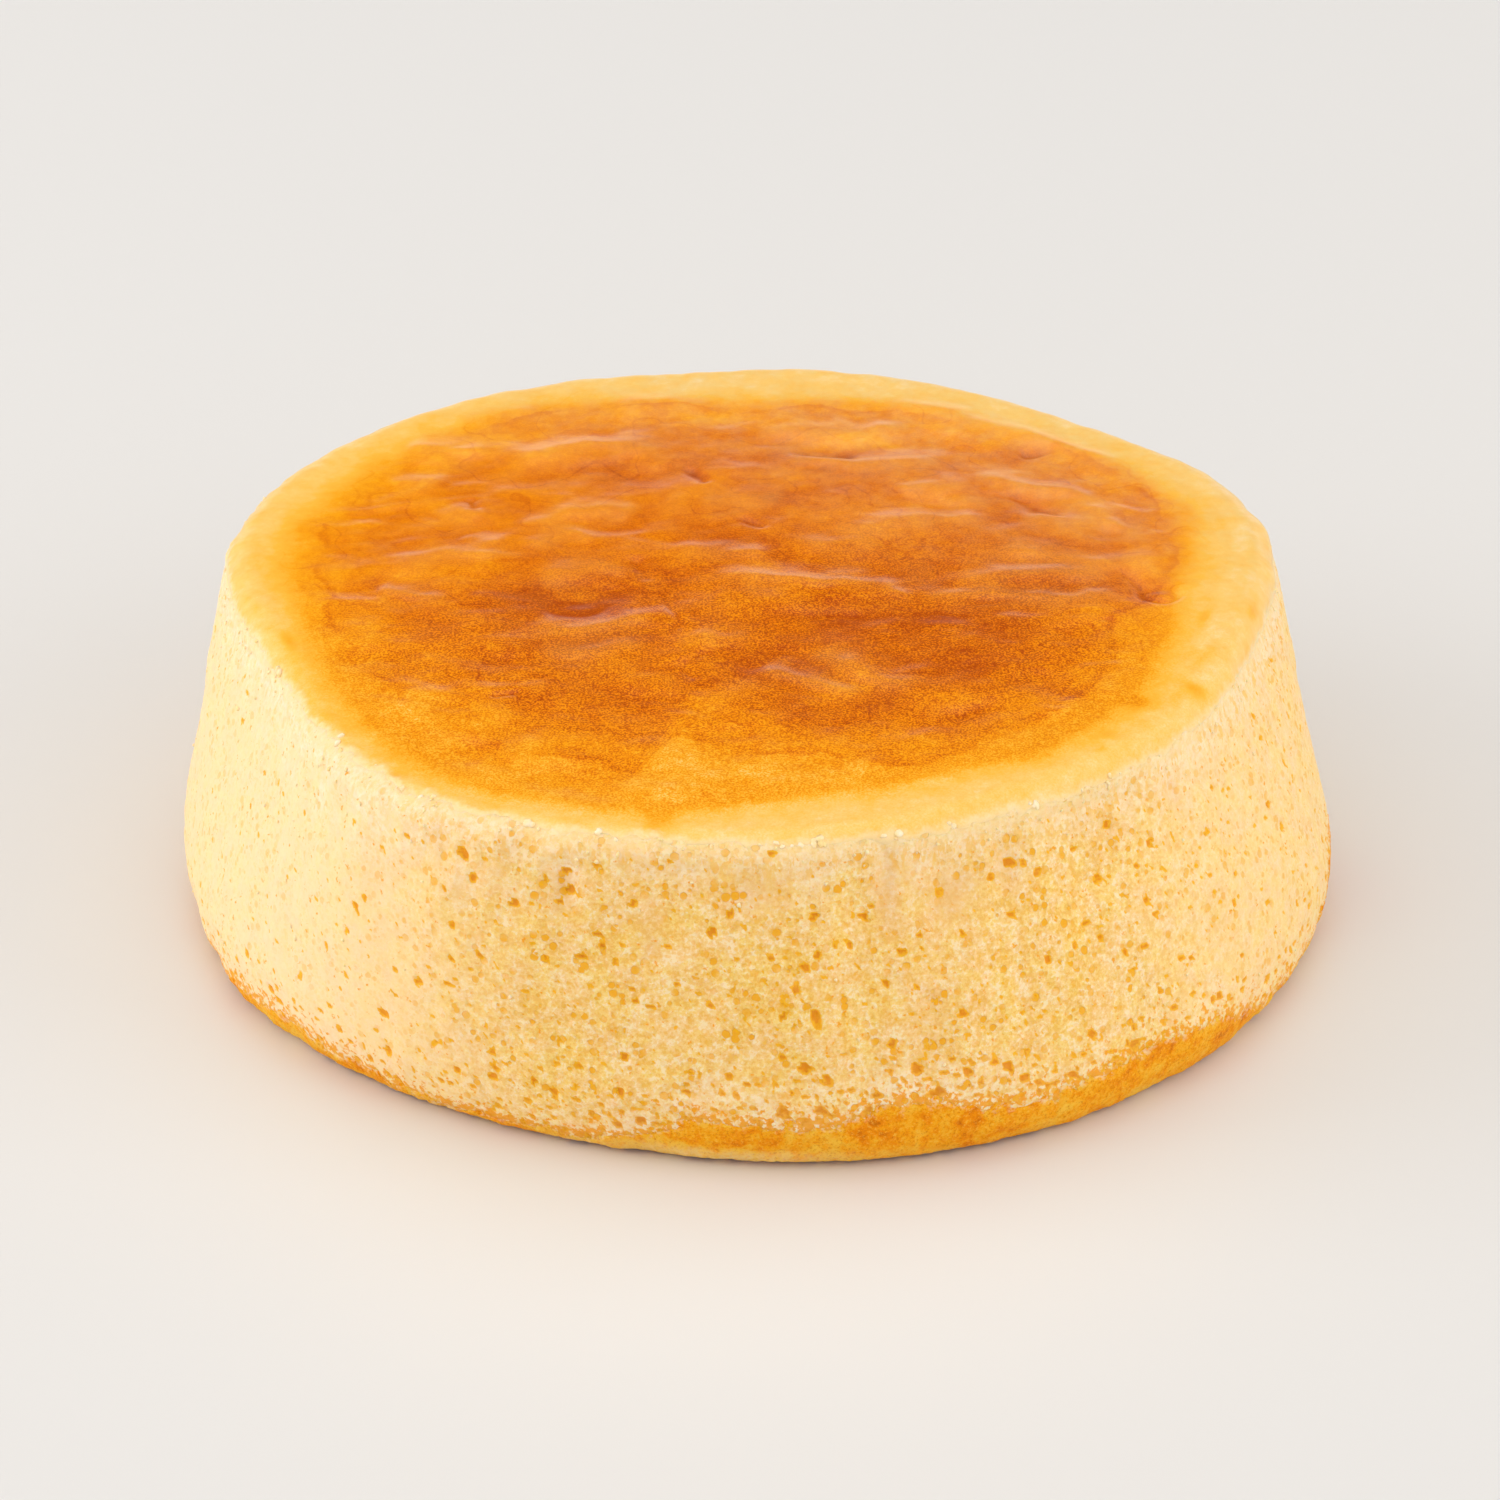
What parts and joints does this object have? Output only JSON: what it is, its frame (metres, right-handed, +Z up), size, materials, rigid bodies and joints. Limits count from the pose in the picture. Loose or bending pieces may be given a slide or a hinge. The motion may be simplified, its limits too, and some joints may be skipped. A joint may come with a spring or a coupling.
{
  "type": "cheesecake",
  "caption": "Low round souffle cheesecake with a tapered porous side, a soft rolled rim and a browned, wrinkled top.",
  "frame": {"origin": "middle of the flat base, on the surface that the cake stands on", "axes": "+Z up, -Y towards the front of the cake, +X to its right"},
  "size_m": [0.182, 0.1798, 0.0559],
  "materials": {
    "sponge": "soft cream-yellow baked sponge, browned and slightly glossy on top, golden crust round the foot"
  },
  "bodies": {
    "root": {"cheesecake": "sponge"}
  },
  "joints": []
}
